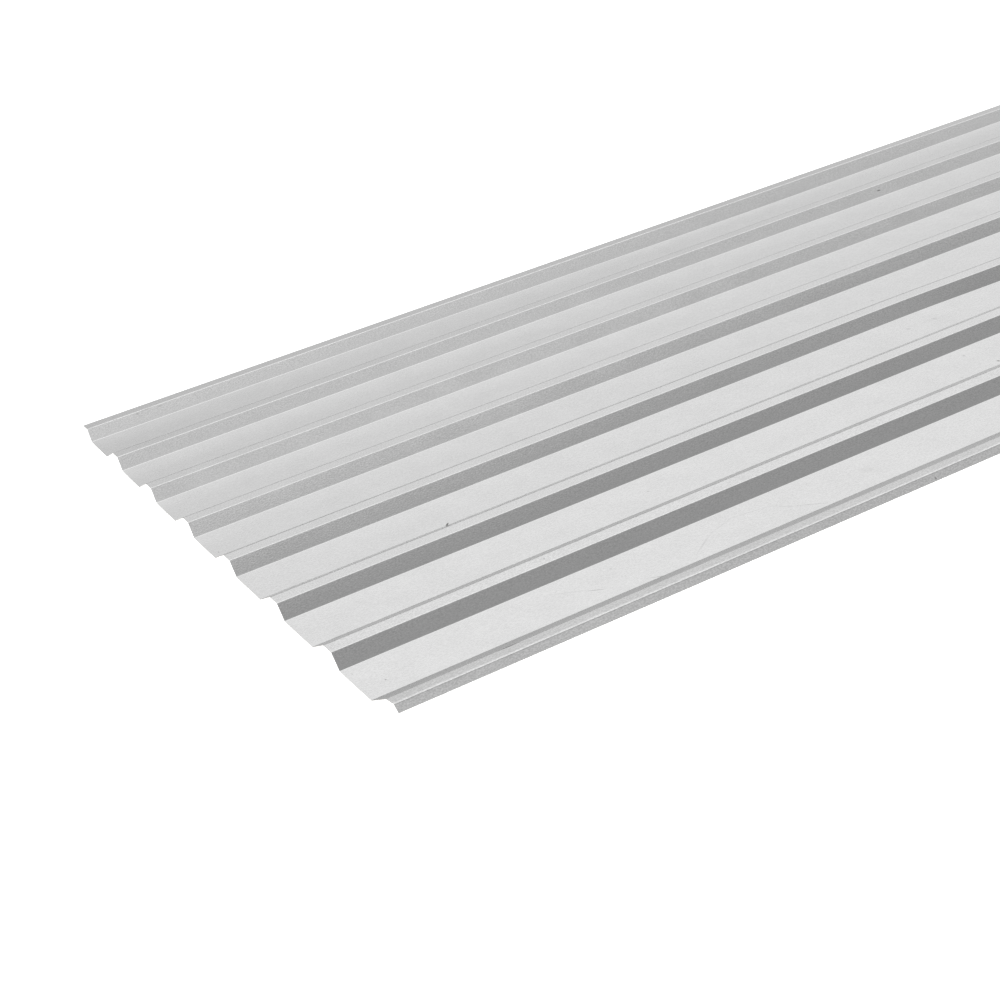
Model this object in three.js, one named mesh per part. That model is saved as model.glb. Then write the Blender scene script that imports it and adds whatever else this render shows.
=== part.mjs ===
// Low-rise trapezoidal roofing sheet, cold-rolled from one strip of zinc-coated steel.
// Millimetres. X runs along the ribs, Y across them and +Z is up. The pans rest on Z = 0,
// and the origin is under the middle of the sheet.
import * as THREE from 'three';

// Strip
const sheetLength = 2000;
const stripThickness = 0.5;
const bendRadius = 2.5; // inside radius of the creases, from the rolls

// Rib profile: flat pan, sloping web, flat crown, sloping web
const pitchCount = 7;
const panWidth = 66;
const crownWidth = 18;
const webRun = 20.5; // the web's width seen from above
const ribRise = 8.5; // from the pan up to the crown

// First edge, +Y: the strip ends at the far side of this crown, which goes under the next sheet
const underlapCrownWidth = 18;

// Last edge, -Y: a taller, rounder rib that laps over the next sheet's first crown. Its crown
// climbs a little, eases over into a level brow, and ends in a lip that turns down.
const overlapWebRun = 24.6;
const overlapWebRise = 10.2;
const overlapCrownWidth = 12.2;
const overlapCrownRise = 1;
const browWidth = 2.5;
const browBendRadius = 7.75;
const lipRun = 6.2;
const lipDrop = 5.35;
const lipBendRadius = 0.55;

const arcSegments = 5;

// The corners of the strip's middle line in the YZ plane, from the first edge to the last.
// The first web's foot is at y = 0 and z is measured from the pans' middle line.
function profileCorners() {
  const corners = [
    { y: webRun + underlapCrownWidth, z: ribRise },
    { y: webRun, z: ribRise },
    { y: 0, z: 0 },
  ];
  let y = 0;
  for (let rib = 1; rib < pitchCount; rib += 1) {
    y -= panWidth;
    corners.push({ y, z: 0 });
    y -= webRun;
    corners.push({ y, z: ribRise });
    y -= crownWidth;
    corners.push({ y, z: ribRise });
    y -= webRun;
    corners.push({ y, z: 0 });
  }
  y -= panWidth;
  corners.push({ y, z: 0 });
  y -= overlapWebRun;
  corners.push({ y, z: overlapWebRise });
  y -= overlapCrownWidth;
  const overlapTop = overlapWebRise + overlapCrownRise;
  corners.push({ y, z: overlapTop, insideRadius: browBendRadius });
  y -= browWidth;
  corners.push({ y, z: overlapTop, insideRadius: lipBendRadius });
  y -= lipRun;
  corners.push({ y, z: overlapTop - lipDrop });
  return corners.map(({ y: cornerY, z, insideRadius = bendRadius }) => ({
    point: new THREE.Vector2(cornerY, z),
    insideRadius,
  }));
}

// The middle line moved sideways by offset, to the left of its direction of travel, with
// every corner rounded by an arc about the same centre whatever the offset.
function offsetLine(corners, offset) {
  const points = [];
  corners.forEach(({ point, insideRadius }, index) => {
    const before = corners[index - 1];
    const after = corners[index + 1];
    const inward = before && point.clone().sub(before.point).normalize();
    const outward = after && after.point.clone().sub(point).normalize();
    if (!before || !after) {
      const along = inward || outward;
      points.push(new THREE.Vector2(-along.y, along.x).multiplyScalar(offset).add(point));
      return;
    }
    const turn = Math.atan2(inward.cross(outward), inward.dot(outward));
    const side = Math.sign(turn); // 1 turns left, -1 turns right
    const middleRadius = insideRadius + stripThickness / 2;
    const tangentLength = middleRadius * Math.tan(Math.abs(turn) / 2);
    const toCentre = new THREE.Vector2(-inward.y, inward.x).multiplyScalar(side);
    const start = point.clone().addScaledVector(inward, -tangentLength);
    const centre = start.clone().addScaledVector(toCentre, middleRadius);
    const radius = middleRadius - side * offset;
    const startAngle = toCentre.clone().negate().angle();
    const arc = new THREE.Path();
    arc.absarc(centre.x, centre.y, radius, startAngle, startAngle + turn, turn < 0);
    points.push(...arc.getSpacedPoints(arcSegments));
  });
  return points;
}

function sheetGeometry() {
  const corners = profileCorners();
  const lowerFace = offsetLine(corners, stripThickness / 2);
  const upperFace = offsetLine(corners, -stripThickness / 2);
  const section = new THREE.Shape([...lowerFace, ...upperFace.reverse()]);
  const geometry = new THREE.ExtrudeGeometry(section, {
    depth: sheetLength,
    bevelEnabled: false,
    steps: 1,
  });
  const firstEdge = webRun + underlapCrownWidth;
  const lastEdge = corners[corners.length - 1].point.x;
  geometry.translate(-(firstEdge + lastEdge) / 2, stripThickness / 2, -sheetLength / 2);
  // The section's x and y become the sheet's Y and Z, and the extrusion runs along X.
  const sectionAcross = new THREE.Vector3(0, 1, 0);
  const sectionUp = new THREE.Vector3(0, 0, 1);
  const extrusion = new THREE.Vector3(1, 0, 0);
  geometry.applyMatrix4(new THREE.Matrix4().makeBasis(sectionAcross, sectionUp, extrusion));
  return geometry;
}

const zincCoatedSteel = new THREE.MeshStandardMaterial({
  name: 'zinc_coated_steel',
  color: 0xc9cbcb,
  roughness: 0.42,
  metalness: 1,
});

const sheet = new THREE.Mesh(sheetGeometry(), zincCoatedSteel);
sheet.name = 'profiled_sheet';

const model = new THREE.Group();
model.add(sheet);

export default model;
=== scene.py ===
import math

import bpy
import numpy as np
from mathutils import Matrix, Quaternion, Vector


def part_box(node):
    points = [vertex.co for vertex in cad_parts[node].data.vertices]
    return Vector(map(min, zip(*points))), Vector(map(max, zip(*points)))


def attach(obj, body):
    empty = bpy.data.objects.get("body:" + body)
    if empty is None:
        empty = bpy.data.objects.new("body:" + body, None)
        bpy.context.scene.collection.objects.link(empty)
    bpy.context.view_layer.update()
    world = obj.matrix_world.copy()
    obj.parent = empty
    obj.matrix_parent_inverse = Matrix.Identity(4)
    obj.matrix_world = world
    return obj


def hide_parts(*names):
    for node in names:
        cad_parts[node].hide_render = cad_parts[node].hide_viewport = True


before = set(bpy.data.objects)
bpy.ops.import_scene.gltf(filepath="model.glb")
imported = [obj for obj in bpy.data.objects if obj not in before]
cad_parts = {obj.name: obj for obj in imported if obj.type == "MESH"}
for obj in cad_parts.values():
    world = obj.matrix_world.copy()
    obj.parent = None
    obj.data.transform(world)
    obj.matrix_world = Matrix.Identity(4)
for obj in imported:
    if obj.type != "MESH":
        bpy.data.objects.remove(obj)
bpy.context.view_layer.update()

# ----------------------------------------------------------------------------------------------------
# Profiled sheet. One strip of half-millimetre steel, dipped in zinc and passed between rolls that fold
# it into seven flat pans with a low rib after each. It lies loose on its pans; the last rib is taller
# and ends in a lip that laps over the first crown of the next sheet.
mm = 0.001
strip = 0.5 * mm
pans = 7
pan = 66 * mm
crown = 18 * mm
web = 20.5 * mm                  # each web's width seen from above
rise = 8.5 * mm
lap_web = 24.6 * mm
lap_rise = 10.2 * mm
lap_crown = 12.2 * mm            # the last crown climbs a little over this width
lap_crown_climb = 1.0 * mm
lip_brow = 2.5 * mm              # then it runs level up to the fold of the lip
lip = 6.18 * mm
lip_drop = 5.35 * mm
foot_radius = 2.5 * mm           # all the radii are to the middle of the strip
first_crown_radius = 3.0 * mm
near_crown_radius = 3.0 * mm
far_crown_radius = 6.5 * mm
brow_radius = 8.0 * mm
lip_radius = 0.8 * mm
pitch = pan + web + crown + web

box_low, box_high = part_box("profiled_sheet")
tail_end, far_end = box_low.x, box_high.x
first_edge = box_high.y
pan_height = box_low.z + strip / 2


def sheet_folds():
    """Each fold as (distance from the first edge, height over the pans, radius), edges included."""
    folds = [(0.0, rise, 0.0), (crown, rise, first_crown_radius), (crown + web, 0.0, foot_radius)]
    for count in range(1, pans + 1):
        across = folds[-1][0] + pan
        folds.append((across, 0.0, foot_radius))
        if count < pans:
            folds.append((across + web, rise, far_crown_radius))
            folds.append((across + web + crown, rise, near_crown_radius))
            folds.append((across + web + crown + web, 0.0, foot_radius))
    across += lap_web
    folds.append((across, lap_rise, near_crown_radius))
    brow = lap_rise + lap_crown_climb
    folds.append((across + lap_crown, brow, brow_radius))
    folds.append((across + lap_crown + lip_brow, brow, lip_radius))
    folds.append((across + lap_crown + lip_brow + lip, brow - lip_drop, 0.0))
    return folds


def left_of(way):
    """The direction at a right angle to the way, to its left."""
    return np.array((-way[1], way[0]))


def strip_middle(folds):
    """Points along the middle of the strip and the way its upper face looks at each: (across, up)."""
    facets_in_fold = 4
    beside_fold = 0.8 * mm       # a row of points close to each fold keeps the flats flat
    widest_step = 11 * mm
    spots = [np.array(f[:2]) for f in folds]
    points, faces_up = [], []

    def add(spot, way):
        points.append(spot)
        faces_up.append(left_of(way))

    start = spots[0]
    for i in range(len(folds) - 1):
        way = (spots[i + 1] - spots[i]) / np.linalg.norm(spots[i + 1] - spots[i])
        last = i == len(folds) - 2
        if last:
            end = spots[-1]
        else:
            next_way = spots[i + 2] - spots[i + 1]
            next_way = next_way / np.linalg.norm(next_way)
            turn = math.atan2(way[0] * next_way[1] - way[1] * next_way[0], way @ next_way)
            radius = folds[i + 1][2]
            end = spots[i + 1] - way * radius * math.tan(abs(turn) / 2)
        flat = np.linalg.norm(end - start)
        pieces = max(1, math.ceil((flat - 2 * beside_fold) / widest_step))
        inner = np.linspace(beside_fold, flat - beside_fold, pieces + 1)
        for along in [0.0, *inner, flat]:
            add(start + way * along, way)
        if last:
            break
        side = math.copysign(1, turn)
        centre = end + left_of(way) * side * radius
        for k in range(1, facets_in_fold):
            a = turn * k / facets_in_fold
            bent = np.array((way[0] * math.cos(a) - way[1] * math.sin(a),
                             way[0] * math.sin(a) + way[1] * math.cos(a)))
            add(centre - left_of(bent) * side * radius, bent)
        start = centre - left_of(next_way) * side * radius
    return np.array(points), np.array(faces_up)


def near(distance, reach):
    """1 at no distance, fading smoothly to nothing within about twice the reach."""
    return np.exp(-(distance / reach) ** 2)


def fading(distance, length):
    """1 at no distance, falling evenly to nothing at the length."""
    return np.clip(1 - distance / length, 0, 1)


def growing(distance, length):
    """0 at no distance, rising evenly to 1 at the length."""
    return np.clip(distance / length, 0, 1)


def softened(share):
    """The same share from 0 to 1, with a soft start and a soft end."""
    return share * share * (3 - 2 * share)


def rolled_shape(along, across, up):
    """How the rolls, the shear and handling leave the sheet a little off its drawn shape."""
    from_tail = along - tail_end
    past_foot = (across - crown - web) % pitch
    share_of_rise = growing(up, rise)

    # The crowns spring back from the sheared end by 0.4 of their height, the lip with its crown, and
    # the shear has left that end a shade bowed: its two corners stand 1 to 2 mm behind its middle.
    spring_back = 0.4
    bow = 1.8 * mm
    bow_middle = 470 * mm
    in_lip = across > pans * pitch - web + lap_web + lap_crown
    sprung_height = np.where(in_lip, lap_rise + lap_crown_climb, up)
    along = along + spring_back * sprung_height * fading(from_tail, 60 * mm) ** 2
    off_middle = (across - bow_middle) / bow_middle
    along = along + bow * off_middle ** 2 * fading(from_tail, 200 * mm) ** 2

    # Each pan is a shallow dish: it climbs 0.4 mm to the foot of the rib behind it, and up to twice
    # that in the second and third pans by the sheared end, where the ribs stand higher with it. Each
    # rib leans the same way, so its crown is 0.1 mm higher on the near side. The ribs from the second
    # to the sixth are 0.3 mm taller.
    dish_depth = 0.4 * mm
    crown_lean = 0.1 * mm
    extra_rise = 0.3 * mm
    over_crown = growing(past_foot - pan - web, crown)
    down_web = growing(past_foot - pan - web - crown, web)
    before_last_rib = across < pans * pitch
    second_to_sixth_rib = (across > crown + web) & (across < 5.5 * pitch)
    deeper = dish_depth * near(across - 200 * mm, 125 * mm) * near(from_tail, 900 * mm)
    dish = (dish_depth + deeper) * fading(past_foot, 46 * mm) ** 2
    lean = crown_lean * over_crown + (dish_depth - crown_lean + deeper) * down_web
    taller = deeper + extra_rise * second_to_sixth_rib
    lift = np.where(before_last_rib, dish + lean, 0) + taller * share_of_rise

    # The near webs run out 1 to 3 mm farther at the foot, less toward the lip, and each crown is half
    # a millimetre narrower.
    foot_out = np.interp(across, [200 * mm, 600 * mm, 700 * mm], [2.9 * mm, 1.9 * mm, 0.9 * mm])
    foot_out = foot_out * (down_web + fading(past_foot, 30 * mm))
    narrower = 0.5 * mm * over_crown * (1 - down_web)
    across = across + np.where(before_last_rib, foot_out - narrower, 0)

    # The strip is never quite flat: long low waves of under a tenth of a millimetre.
    waves = (np.sin(along / (41 * mm) + across / (19 * mm)) * np.sin(along / (67 * mm) - across / (31 * mm))
             + np.sin(along / (23 * mm) + 2.1) * np.sin(across / (27 * mm) + along / (140 * mm)))
    lift = lift + 0.02 * mm * (waves + 2) * (1 - share_of_rise)

    # The fifth rib drifts about 5 mm toward the lip just short of the sheet's middle, where it also
    # stands 0.4 mm higher, and comes back to its line farther on.
    drift = 4.5 * mm
    drift_start = -220 * mm
    past_crown = across - (4 * pitch + crown)
    drifted = softened(growing(along - drift_start, 180 * mm)) * near(np.maximum(along, 0), 300 * mm)
    pulled = np.interp(past_crown, [-crown - web - 50 * mm, -crown - web, -crown, 0, web, web + 60 * mm],
                       [0, 1, 1, 1.2, 1.18, 0])
    lift = lift + 0.4 * mm * drifted * share_of_rise * (np.abs(past_crown) < crown + web)
    across = across + drift * drifted * pulled

    # By the sheared end the ribs sway about a millimetre: the second and third toward the lip, the fifth
    # and sixth away from it.
    sway = np.interp(across, [60 * mm, 160 * mm, 330 * mm, 470 * mm, 600 * mm, 720 * mm],
                     [0, 1.0 * mm, 0.8 * mm, -0.6 * mm, -1.3 * mm, 0])
    across = across + sway * near(from_tail, 350 * mm)

    # The first rib wanders in from its line, its foot twice as far as its crown, and stands a little
    # higher along the sheet's middle.
    foot_wander = 7.7 * mm
    crown_wander = 3.8 * mm
    in_first_rib = across < crown + web
    wander = 0.05 + 0.95 * near(along + 80 * mm, 430 * mm)
    beyond_foot = softened(fading(across - crown - web, 24 * mm))
    first_rib = np.where(in_first_rib, 1, beyond_foot)
    held_back = (foot_wander - crown_wander) * share_of_rise
    shift = wander * first_rib * np.where(in_first_rib, foot_wander - held_back, foot_wander)
    first_lift = 1.4 * mm + 0.2 * mm * np.minimum(across / crown, 1)
    lift = lift + wander * first_rib * first_lift * share_of_rise * in_first_rib
    return along, across + shift, up + lift


def sheet_mesh():
    """The whole sheet as one closed skin: upper face, lower face and the sheared edges."""
    middle, faces_up = strip_middle(sheet_folds())
    # The rows of points lie closest at the sheared end, where the sheet bends most.
    rows_by_tail = np.array([0, 1, 3, 6, 10, 16, 24, 34, 46, 60]) * mm
    other_rows = np.linspace(80 * mm, far_end - tail_end, 120)
    along = tail_end + np.concatenate([rows_by_tail, other_rows])
    rows, columns = len(along), len(middle)
    grid_along = np.repeat(along[:, None], columns, 1)
    grid_across = np.repeat(middle[None, :, 0], rows, 0)
    grid_up = np.repeat(middle[None, :, 1], rows, 0)
    grid_along, grid_across, grid_up = rolled_shape(grid_along, grid_across, grid_up)
    skins = []
    for side in (1, -1):
        skins.append(np.stack([
            grid_along,
            first_edge - grid_across - side * strip / 2 * faces_up[None, :, 0],
            pan_height + grid_up + side * strip / 2 * faces_up[None, :, 1]], -1).reshape(-1, 3))
    number = np.arange(rows * columns).reshape(rows, columns)
    a, b = number[:-1, :-1].ravel(), number[1:, :-1].ravel()
    c, d = number[1:, 1:].ravel(), number[:-1, 1:].ravel()
    under = rows * columns
    upper = np.stack([a, d, c, b], -1)
    lower = np.stack([a, b, c, d], -1) + under
    rim = np.concatenate([number[0, :], number[1:, -1], number[-1, -2::-1], number[-2:0:-1, 0]])
    following = np.roll(rim, -1)
    edge = np.stack([rim, rim + under, following + under, following], -1)
    mesh = bpy.data.meshes.new("profiled_sheet_skin")
    mesh.from_pydata(np.concatenate(skins).tolist(), [], np.concatenate([upper, lower, edge]).tolist())
    mesh.polygons.foreach_set("use_smooth", np.ones(len(mesh.polygons), bool))
    mesh.polygons.foreach_set(
        "material_index", np.repeat([0, 1], [len(upper) + len(lower), len(edge)]))
    sharpest_smooth_edge = math.radians(35)
    mesh.set_sharp_from_angle(angle=sharpest_smooth_edge)
    mesh.update()
    return mesh


def linear_colour(hex_code):
    """A colour written as sRGB hex, as the linear colour that the shaders take."""
    parts = [int(hex_code[i:i + 2], 16) / 255 for i in (1, 3, 5)]
    return [p / 12.92 if p <= 0.04045 else ((p + 0.055) / 1.055) ** 2.4 for p in parts] + [1.0]


def add_node(tree, kind, inputs=None, stops=None, **settings):
    """Adds a node with its settings. Inputs are numbers, colours or sockets; stops are a ramp's.

    In a colour mix, input 0 is the share of the second colour, 6 the first colour and 7 the second.
    """
    node = tree.nodes.new(kind)
    for name, value in settings.items():
        setattr(node, name, value)
    for name, value in (inputs or {}).items():
        if isinstance(value, bpy.types.NodeSocket):
            tree.links.new(value, node.inputs[name])
        else:
            node.inputs[name].default_value = value
    for i, (place, colour) in enumerate(stops or []):
        stop = node.color_ramp.elements[i] if i < 2 else node.color_ramp.elements.new(place)
        stop.position, stop.color = place, colour
    return node


# Hot-dip zinc-coated steel, smooth-rolled after dipping so that the spangle is gone. To the eye it is
# a pale, even metal with a fine grain like frost and soft, cloudy reflections.
zinc = bpy.data.materials.new("hot_dip_zinc_smooth_rolled")
zinc.use_nodes = True
skin = zinc.node_tree
skin.nodes.clear()
zinc_light = linear_colour("#F0F0F0")
zinc_grey = linear_colour("#DADADA")
place = add_node(skin, "ShaderNodeTexCoord").outputs["Object"]
cloud = add_node(skin, "ShaderNodeTexNoise", {
    "Vector": place, "Scale": 1 / (38 * mm), "Detail": 3.0, "Roughness": 0.55}).outputs[0]
# The real grain is 0.2 to 0.4 mm; it is drawn 1.35 mm across, and a third longer the way the strip
# went, so that it shows at all.
drawn = add_node(skin, "ShaderNodeMapping", {"Vector": place, "Scale": (0.75, 1.0, 1.0)}).outputs[0]
grain = add_node(skin, "ShaderNodeTexNoise", {
    "Vector": drawn, "Scale": 1 / (1.35 * mm), "Detail": 0.0}).outputs[0]
# Roll marks run the way the strip went, some 5 mm apart and over 60 mm long.
drawn_out = add_node(skin, "ShaderNodeMapping", {"Vector": place, "Scale": (0.08, 1.0, 1.0)}).outputs[0]
roll_marks = add_node(skin, "ShaderNodeTexNoise", {
    "Vector": drawn_out, "Scale": 1 / (5 * mm), "Detail": 2.0, "Roughness": 0.5}).outputs[0]

# Flecks of site dirt, small dings, scuffs on the first rib's edge and, on the last pan, the faint
# crooked line of a dried splash. Each has its place along and across from the middle of the sheet,
# length and width in millimetres, turn in degrees and how dark it is. A fleck fades to nothing at its
# edge, so its middle is drawn 1.6 times as dark, up to 0.9.
middle_darker = 1.6
darkest = 0.9
flecks = [
    (-958, 441, 10, 7.0, 0, 0.08), (-934, 428.5, 6, 4.5, 0, 0.20), (-921, 431, 18, 4.0, 0, 0.13),
    (-906, 428.5, 8, 4.5, 0, 0.16), (-888, 436, 7, 5.0, 0, 0.13),
    (-976, -382, 2.0, 3.2, 0, 0.40), (-993, -352, 2.0, 3.0, 0, 0.18), (-806, -151.5, 9, 2.6, 48, 1.0),
    (-993, -19, 2.2, 3.2, 0, 0.35), (-784, -308, 2.2, 4.0, 0, 0.30), (-775, -381.5, 20, 2.0, -36, 0.28),
    (-793, -367.5, 48, 2.4, -34, 0.08), (-724, -403, 28, 1.8, -30, 0.25), (-664, -380, 46, 3.0, 39, 0.10),
    (-635, -363, 52, 2.4, 21, 0.07), (-601, -360.5, 56, 2.6, -11, 0.07), (-574, -375, 42, 3.0, -51, 0.08),
    (-556, -391, 40, 2.4, -40, 0.14), (-481, -372.5, 24, 12.0, -52, 0.05),
    (-639, -246, 2.2, 4.0, 0, 0.22), (-746, -357, 2.6, 4.0, 0, 0.15), (51.5, 296, 8.0, 3.6, 0, 0.50),
    (-251, -232, 3.6, 5.0, 0, 0.25), (-240, -271, 3.6, 5.5, 0, 0.55), (-202, -18, 4.0, 8.0, 0, 0.15),
    (-235, -123, 6.0, 8.0, 0, 0.12), (-200, -123, 6.0, 9.0, 0, 0.12), (-289, -274, 3.4, 5.0, 0, 0.14),
    (-463, -448, 2.4, 2.6, 0, 0.38), (-883, -429.4, 24.0, 2.6, 0, 0.55)]
dirt = 0.0
for along, across, length, width, turn, depth in flecks:
    spot = add_node(skin, "ShaderNodeMapping", {
        "Vector": place, "Location": (along * mm, across * mm, 0), "Rotation": (0, 0, math.radians(turn)),
        "Scale": (length / 2 * mm, width / 2 * mm, 1)}, vector_type="TEXTURE").outputs[0]
    round_spot = add_node(skin, "ShaderNodeTexGradient", {"Vector": spot}, gradient_type="SPHERICAL")
    faded = add_node(skin, "ShaderNodeMath", {
        0: round_spot.outputs[1], 1: depth * middle_darker}, operation="MULTIPLY")
    dirt = add_node(skin, "ShaderNodeMath", {0: dirt, 1: faded.outputs[0]}, operation="MAXIMUM").outputs[0]
dirt = add_node(skin, "ShaderNodeMath", {0: dirt, 1: darkest}, operation="MINIMUM").outputs[0]

# The rolls rub the crowns and webs more than the pans, so the grain is stronger up there.
height = add_node(skin, "ShaderNodeSeparateXYZ", {"Vector": place}).outputs["Z"]
rubbed = add_node(skin, "ShaderNodeMapRange", {
    "Value": height, "From Min": 1 * mm, "From Max": 7 * mm, "To Min": 0.85, "To Max": 1.9}).outputs[0]
fine = add_node(skin, "ShaderNodeMath", {0: grain, 1: 0.5}, operation="SUBTRACT").outputs[0]
soft = add_node(skin, "ShaderNodeMath", {0: cloud, 1: 0.5, 2: 0.25}, operation="MULTIPLY_ADD").outputs[0]
mottle = add_node(skin, "ShaderNodeMath", {0: fine, 1: rubbed, 2: soft}, operation="MULTIPLY_ADD").outputs[0]
clean = add_node(skin, "ShaderNodeMix", {0: mottle, 6: zinc_light, 7: zinc_grey}, data_type="RGBA").outputs[2]
colour = add_node(skin, "ShaderNodeMix", {
    0: dirt, 6: clean, 7: linear_colour("#3A3835")}, data_type="RGBA").outputs[2]
gloss = add_node(skin, "ShaderNodeMapRange", {
    "Value": cloud, "From Min": 0.3, "From Max": 0.7, "To Min": 0.10, "To Max": 0.13}).outputs[0]
frosted = add_node(skin, "ShaderNodeBump", {
    "Height": grain, "Strength": 1.0, "Distance": 0.028 * mm}).outputs[0]
rolled = add_node(skin, "ShaderNodeBump", {
    "Height": roll_marks, "Strength": 1.0, "Distance": 0.008 * mm, "Normal": frosted}).outputs[0]
metal = add_node(skin, "ShaderNodeBsdfPrincipled", {
    "Base Color": colour, "Metallic": 1.0, "Roughness": gloss, "Normal": rolled})
add_node(skin, "ShaderNodeOutputMaterial", {"Surface": metal.outputs[0]})

# Sheared mild steel: the shear polishes the first part of the cut and tears the rest, and no zinc
# covers it, so it is a darker, warmer and duller line along each edge.
sheared = bpy.data.materials.new("sheared_mild_steel")
sheared.use_nodes = True
cut = sheared.node_tree
cut.nodes.clear()
cut_place = add_node(cut, "ShaderNodeTexCoord").outputs["Object"]
torn = add_node(cut, "ShaderNodeTexNoise", {
    "Vector": cut_place, "Scale": 1 / (0.8 * mm), "Detail": 3.0, "Roughness": 0.6}).outputs[0]
cut_colour = add_node(cut, "ShaderNodeMix", {
    0: torn, 6: linear_colour("#C9C7C3"), 7: linear_colour("#A5A19B")}, data_type="RGBA").outputs[2]
cut_gloss = add_node(cut, "ShaderNodeMapRange", {
    "Value": torn, "From Min": 0.3, "From Max": 0.7, "To Min": 0.28, "To Max": 0.45}).outputs[0]
cut_rough = add_node(cut, "ShaderNodeBump", {
    "Height": torn, "Strength": 1.0, "Distance": 0.03 * mm}).outputs[0]
cut_metal = add_node(cut, "ShaderNodeBsdfPrincipled", {
    "Base Color": cut_colour, "Metallic": 1.0, "Roughness": cut_gloss, "Normal": cut_rough})
add_node(cut, "ShaderNodeOutputMaterial", {"Surface": cut_metal.outputs[0]})

sheet = bpy.data.objects.new("profiled_sheet_rolled", sheet_mesh())
bpy.context.scene.collection.objects.link(sheet)
sheet.data.materials.append(zinc)
sheet.data.materials.append(sheared)
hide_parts("profiled_sheet")
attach(sheet, "root")

# ----------------------------------------------------------------------------------------------------
# Studio floor. A wide flat stretch of matt white board that the sheet lies on. It glows to the camera
# and in reflections, so that it meets the white all round and still keeps the sheet's own soft shadow.
floor_reach = 10.0
floor_mesh = bpy.data.meshes.new("studio_floor")
floor_mesh.from_pydata([(-floor_reach, -floor_reach, 0), (floor_reach, -floor_reach, 0),
                        (floor_reach, floor_reach, 0), (-floor_reach, floor_reach, 0)], [], [(0, 1, 2, 3)])
board = bpy.data.materials.new("matt_white_board")
board.use_nodes = True
paint = board.node_tree
paint.nodes.clear()
floor_place = add_node(paint, "ShaderNodeTexCoord").outputs["Object"]
fibre = add_node(paint, "ShaderNodeTexNoise", {
    "Vector": floor_place, "Scale": 1 / (60 * mm), "Detail": 3.0}).outputs[0]
board_colour = add_node(paint, "ShaderNodeMix", {
    0: fibre, 6: linear_colour("#F4F4F4"), 7: linear_colour("#F1F1F1")}, data_type="RGBA").outputs[2]
matt = add_node(paint, "ShaderNodeBsdfDiffuse", {"Color": board_colour})
sight = add_node(paint, "ShaderNodeLightPath").outputs
mirrored = add_node(paint, "ShaderNodeMath", {
    0: sight["Is Glossy Ray"], 1: sight["Is Transmission Ray"]}, operation="MAXIMUM").outputs[0]
seen = add_node(paint, "ShaderNodeMath", {
    0: sight["Is Camera Ray"], 1: mirrored}, operation="MAXIMUM").outputs[0]
board_glow = 0.9
glow_strength = add_node(paint, "ShaderNodeMath", {
    0: seen, 1: board_glow}, operation="MULTIPLY").outputs[0]
glow = add_node(paint, "ShaderNodeEmission", {"Strength": glow_strength})
both = add_node(paint, "ShaderNodeAddShader", {0: matt.outputs[0], 1: glow.outputs[0]})
add_node(paint, "ShaderNodeOutputMaterial", {"Surface": both.outputs[0]})
floor = bpy.data.objects.new("studio_floor", floor_mesh)
bpy.context.scene.collection.objects.link(floor)
floor.data.materials.append(board)

# ----------------------------------------------------------------------------------------------------
# Studio light. Two long soft lights hang along the sheet, one on each side, with a dimmer ceiling
# between them, and the room darkens toward the floor. They are part of the world, so that they reach
# the metal evenly.
studio = bpy.data.worlds.new("soft_studio")
bpy.context.scene.world = studio
studio.use_nodes = True
room = studio.node_tree
room.nodes.clear()
looking = add_node(room, "ShaderNodeTexCoord").outputs["Generated"]
parts = add_node(room, "ShaderNodeSeparateXYZ", {"Vector": looking}).outputs
height_angle = add_node(room, "ShaderNodeMath", {
    0: parts["Z"], 1: parts["Y"]}, operation="ARCTAN2").outputs[0]
# The lights hang a little off the line of the ribs: they lean toward the first edge at the far end and
# away from it at the sheared end, by up to this angle.
room_lean = math.radians(4.5)
skewed = add_node(room, "ShaderNodeMath", {
    0: parts["X"], 1: room_lean, 2: height_angle}, operation="MULTIPLY_ADD").outputs[0]
half_turns = add_node(room, "ShaderNodeMath", {0: skewed, 1: math.pi}, operation="DIVIDE").outputs[0]
# Degrees up from the floor beyond the first edge, over the top and down to the floor in front, with
# how bright the room is there over the sheet and toward its far end. The first light is brightest from
# 38 to 51 degrees, fades to 60 and ends in a brighter rim at 64. A narrow uneven band from 65 to 68
# joins it to the ceiling, which is dim and even up to 90. The light in front is brightest at 130.
brightness = [(0, 0.10, 0.10), (14, 0.40, 0.40), (20, 0.66, 0.66), (24, 0.79, 0.79), (30, 0.94, 0.91),
              (37, 0.94, 0.91), (38, 1.20, 1.12), (51, 1.20, 1.12), (53, 0.88, 0.80), (60, 0.60, 0.55),
              (64, 0.74, 0.63), (65, 0.42, 0.28), (67.4, 0.45, 0.47), (68.2, 0.35, 0.35), (90, 0.34, 0.34),
              (104, 0.44, 0.43), (114, 0.60, 0.53), (130, 1.0, 1.0), (180, 0.30, 0.30)]
bands = []
for column in (1, 2):
    stops = [(row[0] / 180, (row[column], row[column], row[column], 1.0)) for row in brightness]
    bands.append(add_node(room, "ShaderNodeValToRGB", {"Fac": half_turns}, stops=stops).outputs[0])
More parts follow.
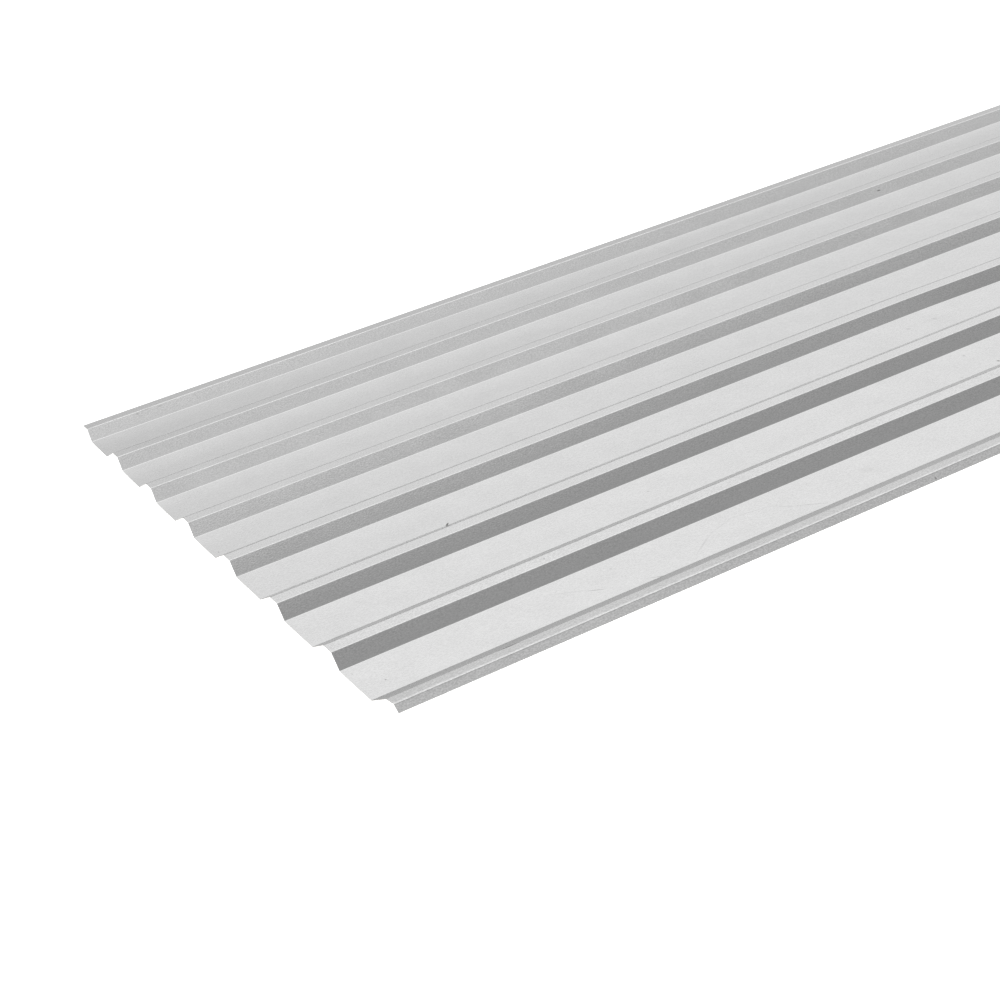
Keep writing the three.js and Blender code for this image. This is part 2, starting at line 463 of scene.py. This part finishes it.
# X is how far a direction points along the sheet: 0 is straight across and 1 straight to the far end.
along_room = add_node(room, "ShaderNodeMapRange", {
    "Value": parts["X"], "From Min": 0.36, "From Max": 0.54}).outputs[0]
levels = add_node(room, "ShaderNodeMix", {
    0: along_room, 6: bands[0], 7: bands[1]}, data_type="RGBA").outputs[2]
# Toward the sheared end and straight over the sheet nothing is brighter than 0.92. Toward the far end
# the limit rises, and soon it is above every stop.
brightest = add_node(room, "ShaderNodeMapRange", {
    "Value": parts["X"], "From Min": 0.08, "From Max": 0.2, "To Min": 0.92, "To Max": 1.4}).outputs[0]
levels = add_node(room, "ShaderNodeMath", {0: levels, 1: brightest}, operation="MINIMUM").outputs[0]
rays = add_node(room, "ShaderNodeLightPath").outputs
soft_lights = add_node(room, "ShaderNodeBackground", {"Color": levels, "Strength": 1.0})
white = add_node(room, "ShaderNodeBackground", {"Color": (1.0, 1.0, 1.0, 1.0), "Strength": 1.0})
shown = add_node(room, "ShaderNodeMixShader", {0: rays["Is Camera Ray"], 1: soft_lights.outputs[0],
                                               2: white.outputs[0]})
add_node(room, "ShaderNodeOutputWorld", {"Surface": shown.outputs[0]})

# A large soft lamp overhead lights the floor; the metal doesn't mirror it.
lamp = bpy.data.objects.new("overhead_soft_lamp", bpy.data.lights.new("overhead_soft_lamp", "AREA"))
lamp.data.size = 4.0
lamp.data.energy = 40.0
lamp.location = (-0.4, -0.2, 4.0)
lamp.visible_glossy = False
bpy.context.scene.collection.objects.link(lamp)

# ----------------------------------------------------------------------------------------------------
# Camera. It stands off the corner between the sheared end and the lip and looks down across the ribs,
# turned a little toward the far end and tipped.
camera = bpy.data.objects.new("camera", bpy.data.cameras.new("camera"))
camera.data.lens = 69.33
camera.location = (-1.3978, -1.7074, 0.7382)
aim = Vector((-0.7444, -0.1432, 0.0)) - camera.location
tip = Quaternion((0, 0, 1), math.radians(-12.15))
camera.rotation_mode = "QUATERNION"
camera.rotation_quaternion = aim.to_track_quat("-Z", "Y") @ tip
camera.data.clip_end = 100.0
bpy.context.scene.collection.objects.link(camera)
bpy.context.scene.camera = camera

bpy.context.scene.view_settings.view_transform = "Standard"
